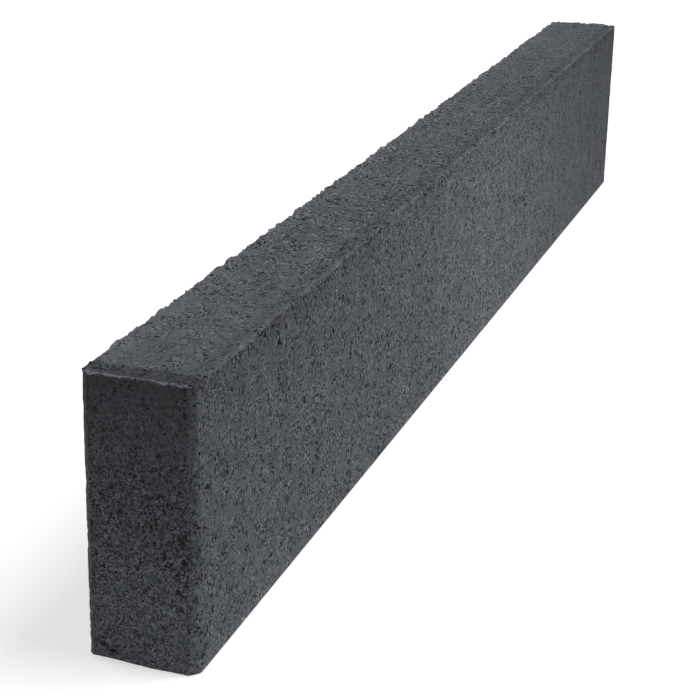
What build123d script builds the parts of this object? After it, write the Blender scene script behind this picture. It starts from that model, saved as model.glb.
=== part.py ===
from build123d import *
from math import atan2, degrees
import os

# Concrete edging kerb, one solid block, in millimetres.
# X runs along the length, Y across the thickness and Z up. The origin is the middle of the foot.
# The end at -X and the long side at -Y are the ones that the photo shows.

# Overall size
LENGTH = 1000.0
THICKNESS = 60.0
HEIGHT = 150.0  # from the foot to the pressed face

# Edges
CORNER_CHAMFER = 5.0  # 45 degree chamfer on each of the four upright corners
FOOT_RADIUS = 0.8  # worn round along the bottom edges

# Pressed top: the shoe leaves the face dished, with a thin lip where it met the mould wall
DISH_RISE = 0.7  # from the flat of the pressed face up to the foot of the lip
DISH_WIDTH = 9.0  # from the outline in to the flat
LIP_HEIGHT = 1.1  # from its foot up to the crest
LIP_CREST = 0.8  # flat width of the crest
LIP_FOOT = 2.6  # from the outline in to the foot of the lip

# Mould marks: shallow upright flutes in both long sides, deepest at the top and run out below
MARK_WIDTH = 12.0  # at the top edge
MARK_DEPTH = 1.2  # at the top edge
MARK_RUN = 55.0  # from the top edge down to where it runs out
MARK_FROM_NEAR_END = 107.0  # centre line to the end at -X
MARK_FROM_FAR_END = 97.0  # centre line to the end at +X
CUT_SPARE = 5.0  # how far a cutter stands clear of the block

# Derived sizes
LIP_FOOT_HEIGHT = HEIGHT + DISH_RISE
CREST_HEIGHT = LIP_FOOT_HEIGHT + LIP_HEIGHT
MARK_RADIUS = ((MARK_WIDTH / 2) ** 2 + MARK_DEPTH**2) / (2 * MARK_DEPTH)
MARK_TILT = degrees(atan2(MARK_DEPTH, MARK_RUN))
MARK_PLACES = (-LENGTH / 2 + MARK_FROM_NEAR_END, LENGTH / 2 - MARK_FROM_FAR_END)


def plan(inset):
    """The chamfered plan of the block, drawn in by inset on every side."""
    outline = Rectangle(LENGTH, THICKNESS)
    outline = chamfer(outline.vertices(), CORNER_CHAMFER)
    return offset(outline, amount=-inset, kind=Kind.INTERSECTION) if inset else outline


def block():
    """The full prism with its bottom edges rounded."""
    prism = extrude(plan(0), amount=CREST_HEIGHT)
    foot = prism.faces().sort_by(Axis.Z)[0]
    return fillet(foot.edges(), FOOT_RADIUS)


def top_hollow():
    """What the pressing shoe takes away: a shallow dish, and a steeper wall up to the lip's crest."""
    flat = Plane.XY.offset(HEIGHT) * plan(DISH_WIDTH)
    lip_foot = Plane.XY.offset(LIP_FOOT_HEIGHT) * plan(LIP_FOOT)
    crest = Plane.XY.offset(CREST_HEIGHT) * plan(LIP_CREST)
    return loft([flat, lip_foot], ruled=True) + loft([lip_foot, crest], ruled=True)


def mould_mark(x, side):
    """A tilted cylinder that grazes one long side. side is -1 or 1, the sign of that side's Y."""
    reach = MARK_RUN + CUT_SPARE
    cutter = Cylinder(MARK_RADIUS, 2 * reach)
    top_axis_y = side * (THICKNESS / 2 - MARK_DEPTH + MARK_RADIUS)
    return Pos(x, top_axis_y, CREST_HEIGHT) * Rot(side * MARK_TILT, 0, 0) * cutter


kerb = block() - top_hollow()
for mark_x in MARK_PLACES:
    for mark_side in (-1, 1):
        kerb -= mould_mark(mark_x, mark_side)

kerb_stone = kerb.solids()[0]
kerb_stone.label = "kerb_stone"

os.makedirs("parts", exist_ok=True)
export_step(kerb_stone, "parts/kerb_stone.step")
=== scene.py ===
import math
from types import SimpleNamespace

import bpy
import numpy as np
from mathutils import Matrix, Vector


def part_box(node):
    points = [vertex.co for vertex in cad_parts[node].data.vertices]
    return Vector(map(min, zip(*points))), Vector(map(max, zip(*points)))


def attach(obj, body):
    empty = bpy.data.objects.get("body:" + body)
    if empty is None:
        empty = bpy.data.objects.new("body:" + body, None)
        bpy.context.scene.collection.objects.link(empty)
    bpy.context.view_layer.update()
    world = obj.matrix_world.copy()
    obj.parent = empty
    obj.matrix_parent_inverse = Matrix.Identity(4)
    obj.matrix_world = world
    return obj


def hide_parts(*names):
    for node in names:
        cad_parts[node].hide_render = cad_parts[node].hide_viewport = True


# A concrete edging kerb on a white floor. The frame's node kerb_stone gives its size and place.
# A dense mesh with the pressed rim, chips, pits and mould marks stands for it here.

NODE = "kerb_stone"
PIECE = "kerb_stone_body"
PAINTED_SHADE = "painted_shade"
MM = 0.001

# The kerb, in millimetres. The overall size comes from the frame. The rest repeats the part.
CORNER_CHAMFER = 5.0
FOOT_RADIUS = 0.8
DISH_RISE = 0.7
DISH_WIDTH = 9.0
LIP_HEIGHT = 1.1
LIP_CREST = 0.8
LIP_FOOT = 2.6
TOP_RISE = DISH_RISE + LIP_HEIGHT
MARK_DEPTH = 1.2
MARK_WIDTH = 12.0
MARK_RUN = 55.0
MARK_FROM_NEAR_END = 107.0
MARK_FROM_FAR_END = 97.0

# The camera, in millimetres and degrees, in the part's frame
CAMERA_PLACE = (-1210.3, -339.1, 457.3)
CAMERA_AIM = (-280.6, -30.0, 95.0)
CAMERA_ROLL = -1.23
CAMERA_LENS = 94.4
SENSOR_WIDTH = 36.0

# Mesh spacing, in millimetres
STEP_ALONG = 1.0
STEP_ACROSS = 0.9
STEP_UP = 1.1
STEP_EDGE = 0.4
EDGE_ZONE = 6.0
MOST_TRIANGLES = 196_000

# Wear, in millimetres
SOFT_BEND = 0.5  # rounding where each upright chamfer starts
FOOT_WEAR = 3.4  # added to the foot's radius at the near end's hidden corner
FOOT_WEAR_SPAN = (-12.0, 28.0)  # the Y over which it grows
PRESS_ZONE = 5.0  # how far below the top the press moves the faces
LIP_MEAN = 0.85  # the lip's mean height over the flat, then the strength of each unevenness in it
LIP_SWELL = 0.45
LIP_TEETH = 2.7
LIP_CRUMBS = 0.9
LIP_AT_ENDS = 0.8
ROUGH = 0.06  # fine unevenness, then what is added to it on the ends and on the top
ROUGH_MORE_ON_ENDS = 0.06
ROUGH_MORE_ON_TOP = 0.14
ARRIS_WIDTH = 1.2  # of the softened upright arrises

# How many chips each edge has and how many groups of pits each face has
CHIPS_ALONG_FOOT = 60
CHIPS_ALONG_TOP = 220
CHIPS_UP_ARRIS = 26
CHIPS_ACROSS_FOOT = 16
PIT_GROUPS_ON_SIDE = 150
PIT_GROUPS_ON_TOP = 170
PIT_GROUPS_ON_END = 46

# The depths at which a chip and a pit get their full painted shade
CHIP_DARK_AT = 1.6
PIT_DARK_AT = 0.95

# Dark streaks of painted shade on the visible long side: (X, half width, length down from the top,
# strength)
STREAKS = ((-398.5, 4.5, 20.0, 0.75), (387.5, 4.0, 60.0, 0.45), (242.0, 5.0, 26.0, 0.25))

# Every kind of noise has its own seed.
SEED = 20
TEETH, CRUMBS, SWELL, LOOSE = SEED + 1, SEED + 3, SEED + 5, SEED + 7
WAVES, FINE, BAND = SEED + 11, SEED + 17, SEED + 23
CRUMBLE, ARRIS, STREAK = SEED + 29, SEED + 37, SEED + 41

# The even light from all round, where 1 is white
AMBIENT = 0.15


def srgb(*levels):
    """A linear colour with alpha from 0 to 255 screen levels."""
    channels = [level / 255 for level in levels]
    linear = [c / 12.92 if c <= 0.04045 else ((c + 0.055) / 1.055) ** 2.4 for c in channels]
    return (*linear, 1.0)


def grey(level):
    """A linear grey with alpha."""
    return (level, level, level, 1.0)


# Repeatable noise for shapes


def hashed(ix, iy, iz, seed):
    """A repeatable number from 0 to 1 for each lattice point."""
    mixed = ix.astype(np.uint32) * np.uint32(73856093)
    mixed ^= iy.astype(np.uint32) * np.uint32(19349663)
    mixed ^= iz.astype(np.uint32) * np.uint32(83492791)
    mixed ^= np.uint32(seed * 2654435761 % 2**32)
    mixed = (mixed ^ (mixed >> np.uint32(15))) * np.uint32(2246822519)
    mixed = (mixed ^ (mixed >> np.uint32(13))) * np.uint32(3266489917)
    return (mixed ^ (mixed >> np.uint32(16))) / np.float64(2**32)


def noise(points, size, seed):
    """Smooth noise from -1 to 1 with bumps about size wide. size may be one number per axis."""
    cell = points / np.asarray(size, dtype=float)
    low = np.floor(cell)
    part = cell - low
    part = part * part * (3 - 2 * part)
    low = low.astype(np.int64)
    total = np.zeros(len(points))
    for corner in range(8):
        step = np.array([corner & 1, corner >> 1 & 1, corner >> 2 & 1])
        weight = np.where(step, part, 1 - part).prod(axis=1)
        at = low + step
        total += weight * hashed(at[:, 0], at[:, 1], at[:, 2], seed)
    return total * 2 - 1


def layered(points, size, seed, layers=3, fade=0.5):
    """Several sizes of noise added up, each half as wide as the last and fade times as strong."""
    total, strength = np.zeros(len(points)), 0.0
    for layer in range(layers):
        total += fade**layer * noise(points, np.asarray(size) / 2**layer, seed + 31 * layer)
        strength += fade**layer
    return total / strength


def ramp(values, low, high):
    """0 below low, 1 above high and smooth between."""
    t = np.clip((values - low) / (high - low), 0, 1)
    return t * t * (3 - 2 * t)


# The block as the skin of a grid of boxes, shaped by maps from plain box places to real places


def lines(half, step, centre=0.0):
    """Grid lines from centre - half to centre + half, closer within EDGE_ZONE of each end."""
    low, high = centre - half + EDGE_ZONE, centre + half - EDGE_ZONE
    middle = np.linspace(low, high, max(2, round((high - low) / step)) + 1)
    edge = np.linspace(0, EDGE_ZONE, round(EDGE_ZONE / STEP_EDGE) + 1)[:-1]
    return np.concatenate([centre - half + edge, middle, (centre + half - edge)[::-1]])


def box_skin(xs, ys, zs):
    """(places, faces) of the closed skin of a box with these grid lines. Every quad looks out."""
    count = np.array([len(xs), len(ys), len(zs)])
    number = -np.ones(count, dtype=np.int64)
    skin = np.zeros(count, dtype=bool)
    for axis in range(3):
        for end in (0, -1):
            index = [slice(None)] * 3
            index[axis] = end
            skin[tuple(index)] = True
    number[skin] = np.arange(skin.sum())
    at = np.argwhere(skin)
    places = np.stack([xs[at[:, 0]], ys[at[:, 1]], zs[at[:, 2]]], axis=1)
    faces = []
    for axis in range(3):
        for end in (0, -1):
            sheet = np.take(number, count[axis] - 1 if end else 0, axis=axis)
            corners = (sheet[:-1, :-1], sheet[1:, :-1], sheet[1:, 1:], sheet[:-1, 1:])
            quads = np.stack(corners, axis=-1).reshape(-1, 4)
            looks_out = (axis != 1) == bool(end)
            faces.append(quads if looks_out else quads[:, ::-1])
    return places, np.concatenate(faces)


def round_corner(a, b, radius):
    """Puts points near a square corner onto a round one. a and b are distances from its sides."""
    p, q = 1 - np.clip(a / radius, 0, 1), 1 - np.clip(b / radius, 0, 1)
    near = (p > 0) & (q > 0)
    new_a = np.where(near, radius * (1 - p * np.sqrt(1 - q * q / 2)), a)
    new_b = np.where(near, radius * (1 - q * np.sqrt(1 - p * p / 2)), b)
    return new_a, new_b


def corner_draw(end):
    """How far the long sides are drawn in by the upright chamfers, which start with a soft bend."""
    start = CORNER_CHAMFER - end
    return (start + np.sqrt(start**2 + SOFT_BEND**2)) / 2


def shape_block(nominal, half):
    """The real places for box places, with a rounded foot and chamfered upright corners."""
    x, y, z = nominal.T.copy()
    end = half[0] - np.abs(x)
    side = half[1] - np.abs(y)
    # The foot is rounded along the sides, then along the ends.
    # It is worn towards the near end's hidden corner.
    side, z = round_corner(side, z, FOOT_RADIUS)
    end, z = round_corner(end, z, FOOT_RADIUS + FOOT_WEAR * ramp(y, *FOOT_WEAR_SPAN) * (x < 0))
    # Every section is drawn in towards the middle as it nears the end.
    draw_zone = 4 * CORNER_CHAMFER
    width = half[1] - np.where(end < draw_zone, corner_draw(end), 0)
    y_size = (half[1] - side) * width / half[1]
    return np.stack([np.sign(x) * (half[0] - end), np.sign(y) * y_size, z], axis=1)


def outward(nominal, half, height):
    """The outward direction at each place, slanting at edges and along the chamfers."""
    x, y, z = nominal.T
    end, side = half[0] - np.abs(x), half[1] - np.abs(y)
    close = 1e-6
    normal = np.stack(
        [
            np.where(end < close, np.sign(x), 0.0),
            np.where(side < close, np.sign(y), 0.0),
            np.where(z < close, -1.0, 0.0) + np.where(z > height - close, 1.0, 0.0),
        ],
        axis=1,
    )
    chamfer = (side < close) & (end < CORNER_CHAMFER - close)
    normal[chamfer, 0] = np.sign(x[chamfer])
    return normal / np.linalg.norm(normal, axis=1, keepdims=True)


def plan_inset(places, half):
    """How far each place lies inside the chamfered plan outline."""
    end, side = half[0] - np.abs(places[:, 0]), half[1] - np.abs(places[:, 1])
    corner = (end + side - CORNER_CHAMFER) / math.sqrt(2)
    return np.minimum(np.minimum(end, side), corner)


def lip_top(flat):
    """How high the ragged lip stands over the flat of the pressed face, in mm."""
    swell = noise(flat, 75.0, SWELL)
    teeth = layered(flat, 9.0, TEETH, layers=3, fade=0.8)
    crumbs = noise(flat, 1.9, CRUMBS)
    at_ends = ramp(np.abs(flat[:, 0]), 478.0, 492.0) * (1 - ramp(np.abs(flat[:, 1]), 12.0, 22.0))
    rise = LIP_MEAN + LIP_SWELL * swell + LIP_TEETH * teeth + LIP_CRUMBS * crumbs
    return np.clip(rise + LIP_AT_ENDS * at_ends, 0.0, TOP_RISE)


def press_top(places, half, height):
    """Presses the top down to its dished face and lets the ragged lip stand along its outline."""
    flat = places * (1, 1, 0)
    inset = plan_inset(places, half)
    loose = inset + 0.7 * noise(flat, 2.6, LOOSE)
    dish = DISH_RISE * (1 - ramp(inset, LIP_FOOT, DISH_WIDTH))
    lip = (lip_top(flat) - DISH_RISE) * (1 - ramp(loose, LIP_CREST, LIP_FOOT))
    worn = 0.2 * (1 - np.clip(inset / 0.6, 0, 1)) ** 2
    top = height - TOP_RISE + np.maximum(dish + lip - worn, 0)
    lift = np.clip((places[:, 2] - (height - PRESS_ZONE)) / PRESS_ZONE, 0, 1)
    places[:, 2] += lift * (top - height)
    return places


def mark_depth(places, half, height):
    """How deep the upright mould marks cut into the long sides."""
    radius = ((MARK_WIDTH / 2) ** 2 + MARK_DEPTH**2) / (2 * MARK_DEPTH)
    depth = np.zeros(len(places))
    for centre in (-half[0] + MARK_FROM_NEAR_END, half[0] - MARK_FROM_FAR_END):
        off = places[:, 0] - centre
        here = MARK_DEPTH * (1 - (height - places[:, 2]) / MARK_RUN) - off**2 / (2 * radius)
        depth = np.maximum(depth, here)
    on_side = ramp(np.abs(places[:, 1]), half[1] - 3, half[1] - 1)
    return depth * on_side


def pit(places, order, depth, centre, radius, deep, crumble):
    """Adds one rough bowl to depth. order is the sorted X of places, which are sorted by it."""
    reach = radius * 1.4
    first, last = np.searchsorted(order, [centre[0] - reach, centre[0] + reach])
    near = slice(first, last)
    away = np.linalg.norm(places[near] - centre, axis=1) / radius + 0.35 * crumble[near]
    bowl = np.clip(1 - away**2, 0, 1)
    depth[near] = np.maximum(depth[near], deep * np.sqrt(bowl))


def broken_places(places, half, height):
    """(how deep chips and pits cut at each place in mm, their painted shade from 0 to 1)."""
    rng = np.random.default_rng(SEED)
    crumble = noise(places, 2.2, CRUMBLE)
    order = np.argsort(places[:, 0], kind="stable")
    rows, row_crumble = places[order], crumble[order]
    chipped, pitted = np.zeros(len(places)), np.zeros(len(places))
    edge_chips = chips(rng, half, height)
    open_pits = pits(rng, half, height) + seen_pits(half, height)
    for bowls, made in ((chipped, edge_chips), (pitted, open_pits)):
        for centre, radius, deep in made:
            pit(rows, rows[:, 0], bowls, np.array(centre), radius, deep, row_crumble)
    cut, dark = np.zeros(len(places)), np.zeros(len(places))
    cut[order] = np.maximum(chipped, pitted)
    dark[order] = np.maximum(chipped / CHIP_DARK_AT, pitted / PIT_DARK_AT)
    return cut, dark


def wear_depth(places, normal, half, height):
    """How far each place is worn or pitted inwards, in mm, and its painted shade from 0 to 1."""
    on_top = np.clip(normal[:, 2], 0, 1)
    on_foot = normal[:, 2] < -0.5
    on_end = np.abs(normal[:, 0])
    upright = 1 - np.abs(normal[:, 2])
    # Slow waves and a fine crumbly unevenness, coarser on the ends and the top
    depth = 0.1 + 0.1 * layered(places, 45.0, WAVES)
    rough = ROUGH + ROUGH_MORE_ON_ENDS * on_end + ROUGH_MORE_ON_TOP * on_top
    fine = layered(places, 3.6, FINE, layers=2, fade=0.7)
    depth += rough * (1 + 1.6 * fine)
    # Under the lip the side is set back a little and crumbly
    below = height - TOP_RISE / 2 - places[:, 2]
    band = ramp(below, -0.9, 0.6) * (1 - ramp(below, 1.6, 5.0))
    crumbly = np.clip(0.15 + 0.75 * layered(places, 4.0, BAND, layers=2), 0, 1)
    band *= upright * (1 - 0.7 * on_end)
    depth += band * crumbly
    # The upright arrises are worn soft
    end, side = half[0] - np.abs(places[:, 0]), half[1] - np.abs(places[:, 1])
    wear = 0.06 + 0.5 * np.clip(layered(places, 5.0, ARRIS, layers=2), 0, 1)
    for arris_end, arris_side in ((0, CORNER_CHAMFER), (CORNER_CHAMFER, 0)):
        away = np.hypot(end - arris_end, side - arris_side)
        depth += upright * wear * np.exp(-((away / ARRIS_WIDTH) ** 2))
    # Mould marks, then chips and pits
    depth += mark_depth(places, half, height) * (np.abs(normal[:, 1]) > 0.5)
    cut, sunk_shade = broken_places(places, half, height)
    depth += cut
    # The foot's arris stays crisp.
    depth *= np.where(on_foot, 0.3, 0.15 + 0.85 * ramp(places[:, 2], 0.0, 3.5))
    # Painted shade: in chips and pits by their depth, less on the ends, and in the band under the
    # lip
    dark = sunk_shade * (1 - 0.4 * on_end) + 0.085 * band * crumbly
    # Painted shade in upright streaks on the visible long side
    dark += 0.7 * streaks(places, half, height)
    return depth, np.clip(dark, 0, 1)


def streaks(places, half, height):
    """Upright streaks of painted shade on the visible long side, in its mould marks and between
    them.
    """
    down = height - places[:, 2]
    front = ramp(-places[:, 1], half[1] - 3, half[1] - 1)
    blur = 0.6 + 0.8 * layered(places, (3.0, 3.0, 9.0), STREAK, layers=2)
    dark = np.zeros(len(places))
    for centre, wide, long, strong in STREAKS:
        across = np.exp(-(((places[:, 0] - centre) / wide) ** 2))
        dark += strong * across * (1 - ramp(down, 0.2 * long, long)) * np.clip(blur, 0, 1.2)
    return dark * front


def chips(rng, half, height):
    """Small broken places along the edges, as (centre, radius, depth)."""
    made = []
    inner = half[1] - CORNER_CHAMFER

    def chip(place, radii, depths):
        """One chip, with its radius and depth drawn from these two ranges."""
        made.append((place, rng.uniform(*radii), rng.uniform(*depths)))

    for side in (-1, 1):
        for _ in range(CHIPS_ALONG_FOOT):
            foot_arris = (rng.uniform(-half[0], half[0]), side * half[1], rng.normal(0, 0.3))
            chip(foot_arris, (0.7, 1.6), (0.15, 0.45))
        for _ in range(CHIPS_ALONG_TOP):
            along = rng.uniform(-half[0], half[0])
            top_arris = (along, side * half[1], height - 0.5 - rng.exponential(2.6))
            chip(top_arris, (0.7, 1.8), (0.3, 1.1))
        for end in (-1, 1):
            for _ in range(CHIPS_UP_ARRIS):
                chip((end * half[0], side * inner, rng.uniform(0, height)), (0.8, 2.2), (0.2, 0.8))
                on_side = (end * (half[0] - CORNER_CHAMFER), side * half[1], rng.uniform(0, height))
                chip(on_side, (0.8, 1.8), (0.2, 0.5))
    for end in (-1, 1):
        for _ in range(CHIPS_ACROSS_FOOT):
            foot_arris = (end * half[0], rng.uniform(-inner, inner), rng.normal(0, 0.3))
            chip(foot_arris, (0.7, 1.8), (0.2, 0.6))
    return made


def pits(rng, half, height):
    """Open pits in the faces, as (centre, radius, depth). Most come in loose groups."""
    made = []
    inner = half[1] - CORNER_CHAMFER

    def group(place, spread, count, mean, most, steep):
        """Some pits about one place. spread gives how far they stray along each axis."""
        for _ in range(count):
            radius = min(0.5 + rng.exponential(mean), most)
            made.append((np.array(place) + rng.normal(0, 1, 3) * spread, radius, steep * radius))

    for side in (-1, 1):
        for _ in range(PIT_GROUPS_ON_SIDE):
            place = (rng.uniform(-half[0], half[0]), side * half[1], rng.uniform(4, height - 4))
            group(place, (5, 0, 5), rng.integers(1, 5), mean=0.45, most=1.9, steep=0.6)
    for _ in range(PIT_GROUPS_ON_TOP):
        place = (rng.uniform(-half[0], half[0]), rng.uniform(-half[1], half[1]), height - TOP_RISE)
        group(place, (5, 4, 0), rng.integers(1, 5), mean=0.5, most=2.0, steep=0.6)
    for end in (-1, 1):
        for _ in range(PIT_GROUPS_ON_END):
            place = (end * half[0], rng.uniform(-inner, inner), rng.uniform(3, height - 6))
            group(place, (0, 4, 5), rng.integers(2, 7), mean=0.25, most=1.3, steep=0.7)
    return made


def seen_pits(half, height):
    """The few larger pits and chips that show one by one at the near end and the near mark."""
    near, front = -half[0], -half[1]
    face = height - TOP_RISE
    return [
        # A pair low down by the hidden side's edge
        ((near, 20.0, 8.2), 1.8, 1.6),
        ((near, 15.5, 5.6), 2.0, 1.9),
        ((near, 13.4, 4.8), 1.3, 1.3),
        # The broken stretch of the edge towards the visible side
        ((near, -22.5, 71.0), 2.2, 1.1),
        ((near + 1.5, -25.0, 68.5), 1.8, 0.9),
        ((near, -23.0, 61.0), 1.5, 0.9),
        ((near, -20.5, 44.0), 1.9, 1.2),
        ((near + 2.5, -27.5, 40.0), 1.7, 0.9),
        ((near, -21.0, 36.0), 1.6, 1.0),
        ((near, -8.0, 68.0), 1.5, 0.9),
        ((near, -3.0, 66.0), 1.2, 0.8),
        # Pits in the top beside the corner on the hidden side, and next to the near mark
        ((near + 17.0, 18.5, face + 0.4), 1.9, 1.4),
        ((near + 14.0, 14.0, face + 0.2), 1.4, 1.0),
        ((near + 84.0, front + 0.5, face - 0.5), 2.0, 1.6),
        ((near + 87.5, front, face - 3.5), 1.4, 1.0),
        ((near + 178.0, front, height - 5.0), 1.3, 1.0),
    ]


def kerb_mesh():
    """The block's dense mesh: (places in mm, faces, painted shade at each place from 0 to 1)."""
    low, high = (np.array(corner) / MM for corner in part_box(NODE))
    half = high[:2]
    height = high[2]
    xs = lines(half[0], STEP_ALONG)
    ys = lines(half[1], STEP_ACROSS)
    zs = lines(height / 2, STEP_UP, centre=height / 2)
    nominal, faces = box_skin(xs, ys, zs)
    normal = outward(nominal, half, height)
    places = shape_block(nominal, half)
    depth, painted_shade = wear_depth(places, normal, half, height)
    places = press_top(places, half, height)
    places -= normal * depth[:, None]
    return np.clip(places, low, high), faces, painted_shade


def make_kerb():
    """The kerb's mesh object, thinned to the triangles that one piece may have."""
    places, faces, painted_shade = kerb_mesh()
    mesh = bpy.data.meshes.new(PIECE)
    mesh.vertices.add(len(places))
    mesh.vertices.foreach_set("co", (places * MM).ravel())
    mesh.loops.add(faces.size)
    mesh.loops.foreach_set("vertex_index", faces.ravel())
    mesh.polygons.add(len(faces))
    mesh.polygons.foreach_set("loop_start", np.arange(0, faces.size, 4))
    mesh.polygons.foreach_set("loop_total", np.full(len(faces), 4))
    mesh.update(calc_edges=True)
    # Painted shade of chips, pits, the band under the lip and the streaks, kept on the mesh
    mesh.attributes.new(PAINTED_SHADE, "FLOAT", "POINT").data.foreach_set("value", painted_shade)
    kerb = bpy.data.objects.new(PIECE, mesh)
    bpy.context.scene.collection.objects.link(kerb)
    triangles = 2 * len(faces)
    if triangles > MOST_TRIANGLES:
        thin = kerb.modifiers.new("thin", "DECIMATE")
        thin.ratio = MOST_TRIANGLES / triangles
        graph = bpy.context.evaluated_depsgraph_get()
        kerb.data = bpy.data.meshes.new_from_object(kerb.evaluated_get(graph))
        kerb.modifiers.clear()
        # Thinning can move a point a few micrometres past the part's box.
        moved = np.empty(3 * len(kerb.data.vertices))
        kerb.data.vertices.foreach_get("co", moved)
        moved = np.clip(moved.reshape(-1, 3), *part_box(NODE))
        kerb.data.vertices.foreach_set("co", moved.ravel())
    kerb.data.polygons.foreach_set("use_smooth", np.ones(len(kerb.data.polygons), dtype=bool))
    kerb.data.update()
    return kerb


# Materials


class Nodes:
    """Adds nodes to the emptied tree of one material or world and joins them."""

    def __init__(self, owner):
        owner.use_nodes = True
        self.tree = owner.node_tree
        self.tree.nodes.clear()

    def add(self, kind, settings=None, **sockets):
        """A node of that kind. A socket is given a number, a colour or another node's output."""
        made = self.tree.nodes.new(f"ShaderNode{kind}")
        for name, value in (settings or {}).items():
            setattr(made, name, value)
        for name, value in sockets.items():
            self.join(made.inputs[name.replace("_", " ")], value)
        return made

    def join(self, socket, value):
        """Links an output to a socket, or sets the socket's own value."""
        if isinstance(value, bpy.types.NodeSocket):
            self.tree.links.new(value, socket)
        else:
            socket.default_value = value

    def row(self, kind, settings, *values):
        """A node whose first sockets take these values in order."""
        made = self.add(kind, settings)
        for socket, value in zip(made.inputs, values):
            self.join(socket, value)
        return made

    def math(self, operation, *values):
        """The output of a Math node."""
        return self.row("Math", {"operation": operation}, *values).outputs[0]

    def vector(self, operation, *values):
        """The output of a Vector Math node."""
        return self.row("VectorMath", {"operation": operation}, *values).outputs[0]

    def times(self, first, *others):
        """The product of several values."""
        for other in others:
            first = self.math("MULTIPLY", first, other)
        return first

    def rest(self, share):
        """1 less share."""
        return self.math("SUBTRACT", 1.0, share)

    def swing(self, value):
        """A value that is about 0.5 on average, moved to about 0."""
        return self.math("SUBTRACT", value, 0.5)

    def change(self, value, *changes):
        """value made larger by amount where share is 1, for each (share, amount)."""
        for share, amount in changes:
            value = self.math("MULTIPLY", value, self.math("MULTIPLY_ADD", share, amount, 1.0))
        return value

    def span(self, value, low, high, to_low=0.0, to_high=1.0):
        """value mapped from low..high to to_low..to_high, smooth and held at the ends."""
        settings = {"interpolation_type": "SMOOTHSTEP"}
        return self.row("MapRange", settings, value, low, high, to_low, to_high).outputs["Result"]

    def mix(self, kind, factor, a, b):
        """The output of a colour mix."""
        made = self.add("Mix", {"data_type": "RGBA", "blend_type": kind})
        for number, value in ((0, factor), (6, a), (7, b)):
            self.join(made.inputs[number], value)
        return made.outputs[2]

    def pick(self, share, first, second):
        """A shader that goes from first to second as share goes from 0 to 1."""
        return self.row("MixShader", None, share, first.outputs[0], second.outputs[0])

    def noise(self, where, scale, detail=3.0, roughness=0.5):
        """The value of a Noise Texture, about 0.5 on average. scale is in bumps per metre."""
        sockets = {"Vector": where, "Scale": scale, "Detail": detail, "Roughness": roughness}
        return self.add("TexNoise", None, **sockets).outputs["Fac"]

    def cells(self, where, scale):
        """(distance from the middle, two shades) of the cell at each point. scale is per metre."""
        made = self.add("TexVoronoi", None, Vector=where, Scale=scale)
        shade, other_shade, _ = self.add("SeparateColor", None, Color=made.outputs["Color"]).outputs
        return made.outputs["Distance"], shade, other_shade

    def dots(self, where, scale, few, dark, light):
        """Spots about 0.6 / scale wide, fewer as few nears 1. Most are -dark, one in six light."""
        distance, chance, kind = self.cells(where, scale)
        spot = self.times(self.span(distance, 0.36, 0.22), self.span(chance, few, few + 0.05))
        return self.times(spot, self.span(kind, 0.82, 0.85, -dark, light))

    def seen_as_is(self):
        """1 for what the camera sees, also mirrored or through glass, 0 for the light on things."""
        path = self.add("LightPath").outputs
        seen = self.math("MAXIMUM", path["Is Camera Ray"], path["Is Glossy Ray"])
        return self.math("MAXIMUM", seen, path["Is Transmission Ray"])


def surface(n, half, height):
    """Where each point is on the kerb, in metres, and how far from 0 to 1 it is on each face."""
    coords = n.add("TexCoord")
    where = coords.outputs["Object"]
    x, y, z = n.add("SeparateXYZ", None, Vector=where).outputs
    nx, _, nz = n.add("SeparateXYZ", None, Vector=coords.outputs["Normal"]).outputs
    steep = n.math("ABSOLUTE", nx)
    on_end, on_top = n.span(steep, 0.55, 0.85), n.span(nz, 0.6, 0.85)
    off_end, off_top = n.rest(on_end), n.rest(on_top)
    return SimpleNamespace(
        where=where,
        x=x,
        y=y,
        z=z,
        nz=nz,
        from_end=n.math("SUBTRACT", half[0], n.math("ABSOLUTE", x)),
        from_near_end=n.math("ADD", half[0], x),
        from_side=n.math("SUBTRACT", half[1], n.math("ABSOLUTE", y)),
        from_top=n.math("SUBTRACT", height, z),
        on_end=on_end,
        on_top=on_top,
        off_end=off_end,
        off_top=off_top,
        on_side=n.times(off_end, off_top),
        on_corner=n.times(n.span(steep, 0.35, 0.6), n.span(steep, 0.93, 0.8)),
    )


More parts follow.
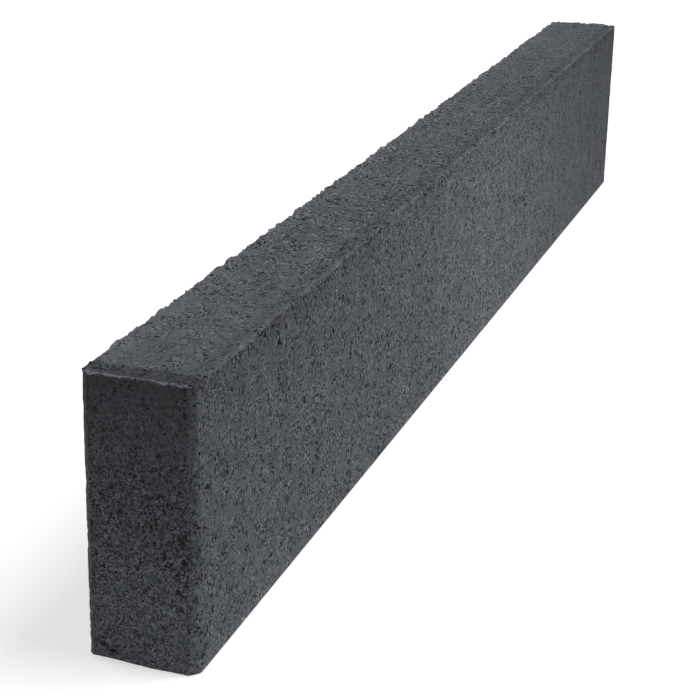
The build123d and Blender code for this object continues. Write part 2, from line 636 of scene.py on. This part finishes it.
def grains(n, at):
    """(each sand grain's tone, the fine grain, specks with sparse black pits of painted shade)."""
    coarse = n.times(n.noise(at.where, 640.0, detail=4.0, roughness=0.95), at.off_end)
    fine = n.noise(at.where, 1750.0, detail=2.0, roughness=0.9)
    grain = n.math("MULTIPLY_ADD", fine, at.on_end, coarse)
    # The cells are bent a little, so that none is straight-sided.
    warp = n.add("TexNoise", None, Vector=at.where, Scale=500.0, Detail=1.0).outputs["Color"]
    bent = n.vector("MULTIPLY_ADD", warp, (0.0018, 0.0018, 0.0018), at.where)
    _, sand, _ = n.cells(bent, 1000.0)
    large_dots = n.dots(bent, 200.0, few=0.84, dark=1.8, light=0.4)
    small_dots = n.dots(bent, 380.0, few=0.3, dark=1.6, light=1.0)
    coarse_dots = n.math("ADD", large_dots, small_dots)
    end_dots = n.times(n.dots(bent, 820.0, few=0.35, dark=0.8, light=0.8), at.on_end)
    dots = n.math("MULTIPLY_ADD", coarse_dots, at.off_end, end_dots)
    # Black pits, painted shade in the pits: the wide ones keep away from the near end, and few are
    # at the far end.
    wide_pits = n.dots(bent, 260.0, few=0.76, dark=3.0, light=0.0)
    wide_pits = n.times(wide_pits, n.span(at.x, -0.44, -0.22))
    narrow_pits = n.dots(bent, 430.0, few=0.70, dark=3.0, light=0.0)
    side_pits = n.math("ADD", wide_pits, narrow_pits)
    side_pits = n.times(side_pits, n.span(at.x, 0.08, 0.36, to_low=1.0, to_high=0.2))
    end_pits = n.times(n.dots(bent, 520.0, few=0.74, dark=3.0, light=0.0), at.on_end)
    black = n.math("MULTIPLY_ADD", side_pits, at.off_end, end_pits)
    return sand, grain, n.math("ADD", dots, black)


def drag_lines(n, at):
    """Upright lines that the mould drags into the long sides, about 0 on average."""
    stretched = n.vector("MULTIPLY", at.where, (1.0, 1.0, 0.08))
    return n.times(n.swing(n.noise(stretched, 330.0, detail=2.0)), at.off_end, at.off_top)


def holes(n, at):
    """(hole, deep_hole, fine_hole): irregular pits for painted shade, thicker in some places than
    in others.
    """
    crowd = n.swing(n.noise(at.where, 42.0, detail=2.0))
    by_edge = n.times(n.span(at.from_top, 0.008, 0.003), n.span(at.from_side, 0.007, 0.002))
    crowding = n.math("MULTIPLY_ADD", by_edge, 0.02, n.times(crowd, 0.22))
    lack = n.noise(at.where, 330.0, detail=3.0, roughness=0.75)
    lack = n.math("SUBTRACT", lack, crowding)
    hole = n.change(n.span(lack, 0.39, 0.34), (at.on_end, -0.6))
    deep_hole = n.change(n.span(lack, 0.36, 0.31), (at.on_end, -0.6))
    fine_lack = n.noise(at.where, 900.0, detail=2.0, roughness=0.7)
    fine_lack = n.math("MULTIPLY_ADD", crowd, -0.12, fine_lack)
    fine_hole = n.times(n.span(fine_lack, 0.36, 0.31), at.on_end)
    return hole, deep_hole, fine_hole


def zones(n, at):
    """Places with a look of their own, each from 0 to 1, most of them painted light or shade."""
    broken = n.span(n.noise(at.where, 210.0, detail=2.0, roughness=0.7), 0.42, 0.56)
    crest_highlight = n.times(n.span(at.from_side, 0.0028, 0.0014), n.span(at.from_top, 0.0034, 0.0022))
    end_crest_highlight = n.times(n.span(at.from_end, 0.0020, 0.0010), n.span(at.from_top, 0.0021, 0.0013))
    below_lip_shade = n.times(n.span(at.from_top, 0.0085, 0.0045), n.span(at.from_top, 0.0016, 0.0028))
    near = at.from_near_end
    shaded_grainy_by_near_end = n.times(n.span(near, 0.0185, 0.0155), n.span(near, 0.0025, 0.0040))
    front_slope_shade = n.times(n.span(at.y, -0.0165, -0.0205), n.span(at.y, -0.0275, -0.0255))
    return SimpleNamespace(
        # Painted highlights on the lip along the long sides and the ends, and on what faces up
        # beside the ends
        crest_highlight=n.times(crest_highlight, n.math("MULTIPLY_ADD", broken, 0.5, 0.5)),
        end_crest_highlight=n.times(end_crest_highlight, at.on_end),
        end_top_highlight=n.times(n.span(at.from_end, 0.0036, 0.0026), n.span(at.nz, 0.25, 0.5)),
        # The upright faces: painted shade just below the lip, the upper part, and painted light
        # from the floor at the foot
        below_lip_shade=n.times(below_lip_shade, at.off_top),
        upper_side=n.times(n.span(at.from_top, 0.034, 0.004), at.off_top),
        foot=n.times(n.span(at.z, 0.009, 0.002), at.off_top),
        # The top: painted shade where it slopes away from the light beside the near end and the
        # visible side, painted light where it slopes towards it by the hidden side, and its near
        # part
        shaded_grainy_by_near_end=n.times(shaded_grainy_by_near_end, at.on_top),
        front_slope_shade=n.times(front_slope_shade, at.on_top),
        back_slope_light=n.times(n.span(at.y, 0.0165, 0.0235), at.on_top),
        calm_top=n.times(at.on_top, n.span(at.x, -0.26, -0.38)),
        # The upper part of the ends, and the lower part, which gets painted light from the floor
        smooth_end=n.times(n.span(at.from_top, 0.070, 0.004), at.on_end),
        low_end=n.times(n.span(at.z, 0.085, 0.03), at.on_end),
    )


def tone_along(n, at):
    """Slow changes in brightness along the kerb, about 1 on average."""
    near_side = n.span(at.x, -0.45, -0.24, to_low=0.15, to_high=0.0)
    far_side = n.span(at.x, 0.2, 0.42, to_low=0.0, to_high=-0.05)
    near_top = n.span(at.x, -0.45, -0.24, to_low=0.05, to_high=0.0)
    tone = n.math("MULTIPLY_ADD", near_side, at.on_side, 1.0)
    tone = n.math("MULTIPLY_ADD", far_side, at.on_side, tone)
    tone = n.math("MULTIPLY_ADD", near_top, at.on_top, tone)
    # Each stretch of the long sides: (middle, half length, change)
    for middle, half_length, amount in ((0.025, 0.07, 0.06), (-0.12, 0.05, -0.07)):
        away = n.math("ABSOLUTE", n.math("SUBTRACT", at.x, middle))
        share = n.times(n.span(away, half_length, 0.0), at.on_side)
        tone = n.math("MULTIPLY_ADD", share, amount, tone)
    return tone


def concrete(half, height):
    """Dry pressed grey concrete with sand grains and dark pits, with painted light and shade.
    half and height are in metres.
    """
    material = bpy.data.materials.new("concrete")
    n = Nodes(material)
    at = surface(n, half, height)
    zone = zones(n, at)
    sand, grain, dots = grains(n, at)
    hole, deep_hole, fine_hole = holes(n, at)
    # The mesh's painted shade in chips, pits, under the lip and in the streaks
    painted_shade = n.add("Attribute", {"attribute_name": PAINTED_SHADE}).outputs["Fac"]
    patches = n.noise(at.where, 9.0, detail=2.0)
    clouds = n.noise(at.where, 75.0, detail=3.0, roughness=0.6)
    paste = n.span(n.noise(at.where, 105.0, detail=3.0, roughness=0.6), 0.46, 0.54)

    # How strong the grain is. It is calmer in patches of smooth paste, on the near part of the
    # top, high on the ends, on the chamfers and far away, and stronger beside the near end.
    strength = n.math("MULTIPLY_ADD", n.change(paste, (at.on_end, -0.45)), -0.68, 1.0)
    strength = n.change(
        strength,
        (zone.shaded_grainy_by_near_end, 0.9),
        (zone.calm_top, -0.3),
        (zone.smooth_end, -0.55),
        (at.on_corner, -0.3),
    )
    strength = n.times(strength, n.span(at.x, 0.08, 0.36, to_low=1.0, to_high=0.56))
    strength = n.times(strength, n.span(at.x, -0.46, -0.2, to_low=0.86, to_high=1.0))

    # Brightness on one grey: grain, patches, clouds, drag lines and specks, then the zones,
    # most of them painted light and shade
    spots = n.math("ADD", n.times(n.swing(sand), 2.1), n.times(n.swing(grain), 6.6))
    bright = n.math("MULTIPLY_ADD", spots, strength, 1.0)
    bright = n.math("ADD", bright, n.times(n.swing(patches), 0.25))
    cloudy = n.math("MULTIPLY_ADD", at.on_end, -0.58, 0.65)
    bright = n.math("ADD", bright, n.times(n.swing(clouds), cloudy))
    bright = n.math("MULTIPLY_ADD", drag_lines(n, at), 0.45, bright)
    bright = n.math("MULTIPLY_ADD", dots, n.math("MINIMUM", strength, 1.0), bright)
    darkest = 0.08
    bright = n.change(
        n.math("MAXIMUM", bright, darkest),
        # Painted shade in the pits
        (hole, -0.4),
        (deep_hole, -0.6),
        # Painted highlight on the lip along the long sides
        (zone.crest_highlight, 0.26),
        # Painted shade just under the lip
        (zone.below_lip_shade, -0.06),
        (zone.upper_side, -0.08),
        # Painted shade and light where the top slopes beside the near end, the visible and the
        # hidden side
        (zone.shaded_grainy_by_near_end, -0.47),
        (zone.front_slope_shade, -0.18),
        (zone.back_slope_light, 0.12),
        # Painted highlights beside the ends and on the lip of the ends
        (zone.end_top_highlight, 0.52),
        (zone.end_crest_highlight, 0.75),
        # Painted shade on the ends, then painted light from the floor low on them
        (at.on_end, -0.24),
        (zone.low_end, 0.13),
        (at.on_corner, -0.1),
        # Painted shade in the ends' fine pits
        (fine_hole, -0.3),
        # Painted light from the floor at the foot
        (zone.foot, 0.12),
        (at.on_top, -0.025),
    )
    # Slow tone along the kerb, then the mesh's painted shade
    bright = n.change(n.times(bright, tone_along(n, at)), (painted_shade, -0.86))
    tint = n.mix("MIX", n.span(clouds, 0.35, 0.65), srgb(90, 92.5, 96), srgb(90, 92.5, 97))
    level = n.add("CombineColor", None, Red=bright, Green=bright, Blue=bright)
    colour = n.mix("MULTIPLY", 1.0, tint, level.outputs[0])

    # Relief in millimetres
    relief = n.math("ADD", grain, n.times(sand, 0.16))
    relief = n.math("SUBTRACT", relief, n.times(n.math("ADD", hole, deep_hole), 0.35))
    bump = n.add("Bump", None, Height=relief, Distance=MM, Strength=0.7)

    shader = n.add(
        "BsdfPrincipled",
        None,
        Base_Color=colour,
        Normal=bump.outputs[0],
        Roughness=0.93,
        Specular_IOR_Level=0.05,
    )
    n.add("OutputMaterial", None, Surface=shader.outputs[0])
    return material


def white_floor(half):
    """A pale floor that the camera sees as white with a soft shadow. half is in metres."""
    material = bpy.data.materials.new("white_floor")
    n = Nodes(material)
    where = n.add("TexCoord").outputs["Object"]
    x, y, _ = n.add("SeparateXYZ", None, Vector=where).outputs
    away_x = n.math("MAXIMUM", n.math("SUBTRACT", n.math("ABSOLUTE", x), half[0]), 0.0)
    away_y = n.math("MAXIMUM", n.math("SUBTRACT", n.math("ABSOLUTE", y), half[1]), 0.0)
    away = n.math("MAXIMUM", away_x, away_y)
    # The light that it throws back is strongest close to the kerb, as from white paper on a
    # darker floor.
    paper = n.mix("MIX", n.span(away, 0.0, 0.30), grey(0.95), grey(0.45))
    pale = n.add("BsdfDiffuse", None, Color=paper)
    seen = n.add("BsdfDiffuse", None, Color=grey(0.5))
    glow = n.add("Emission", None, Color=grey(1.0), Strength=n.span(away, 0.4, 1.4, 0.6, 1.0))
    lit = n.row("AddShader", None, seen.outputs[0], glow.outputs[0])
    both = n.pick(n.seen_as_is(), pale, lit)
    n.add("OutputMaterial", None, Surface=both.outputs[0])
    return material


# Setting, light and camera


def make_floor(half):
    """A wide floor just under the kerb's foot. half is the kerb's half size, in metres."""
    size, drop = 12.0, 0.0003
    mesh = bpy.data.meshes.new("floor")
    plan = ((-size, -size), (size, -size), (size, size), (-size, size))
    mesh.from_pydata([(x, y, -drop) for x, y in plan], [], [(0, 1, 2, 3)])
    floor = bpy.data.objects.new("floor", mesh)
    bpy.context.scene.collection.objects.link(floor)
    mesh.materials.append(white_floor(half))


def make_world():
    """Even light from all round, and white where the camera looks past the floor."""
    world = bpy.data.worlds.new("studio")
    n = Nodes(world)
    light = n.add("Background", None, Color=grey(1.0), Strength=AMBIENT)
    white = n.add("Background", None, Color=grey(1.0), Strength=1.0)
    both = n.pick(n.seen_as_is(), light, white)
    n.add("OutputWorld", None, Surface=both.outputs[0])
    bpy.context.scene.world = world


def soft_box(name, place, aim, size, power):
    """A square white area lamp at place that looks at aim, in metres and watts."""
    data = bpy.data.lights.new(name, "AREA")
    data.shape, data.size, data.energy = "SQUARE", size, power
    lamp = bpy.data.objects.new(name, data)
    lamp.location = place
    lamp.rotation_mode = "QUATERNION"
    lamp.rotation_quaternion = (Vector(aim) - Vector(place)).to_track_quat("-Z", "Y")
    lamp.visible_camera = False
    bpy.context.scene.collection.objects.link(lamp)


def make_lights():
    """A large lamp overhead, one beside each long side and a very weak low one at the near end."""
    soft_box("overhead", (0.2, -1.45, 3.3), (0.0, 0.0, 0.075), 1.6, 102.0)
    soft_box("visible_side", (0.03, -0.40, 0.20), (0.03, 0.0, 0.08), 0.26, 0.72)
    soft_box("low_end", (-0.67, -0.01, 0.055), (-0.5, -0.01, 0.03), 0.1, 0.062)
    soft_box("hidden_side", (0.2, 2.6, 1.2), (0.0, 0.0, 0.075), 1.4, 31.0)


def make_camera():
    """The camera at the photograph's angle."""
    place, aim = Vector(CAMERA_PLACE) * MM, Vector(CAMERA_AIM) * MM
    data = bpy.data.cameras.new("camera")
    data.sensor_width, data.lens = SENSOR_WIDTH, CAMERA_LENS
    data.clip_start, data.clip_end = 0.05, 50.0
    camera = bpy.data.objects.new("camera", data)
    turn = (aim - place).to_track_quat("-Z", "Y").to_matrix().to_4x4()
    roll = Matrix.Rotation(math.radians(-CAMERA_ROLL), 4, "Z")
    camera.matrix_world = Matrix.Translation(place) @ turn @ roll
    bpy.context.scene.collection.objects.link(camera)
    bpy.context.scene.camera = camera


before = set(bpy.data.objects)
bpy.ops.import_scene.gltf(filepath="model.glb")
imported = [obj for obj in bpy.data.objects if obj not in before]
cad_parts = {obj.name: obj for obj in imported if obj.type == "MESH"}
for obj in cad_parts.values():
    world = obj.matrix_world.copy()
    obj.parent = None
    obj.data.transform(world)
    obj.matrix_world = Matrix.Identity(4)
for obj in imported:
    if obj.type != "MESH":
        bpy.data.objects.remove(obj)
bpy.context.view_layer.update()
bpy.context.scene.view_settings.view_transform = "Standard"

make_camera()
make_world()
make_lights()
lowest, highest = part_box(NODE)
make_floor((highest[0], highest[1]))

kerb = make_kerb()
kerb.data.materials.append(concrete((highest[0], highest[1]), highest[2]))
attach(kerb, "root")
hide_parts(NODE)
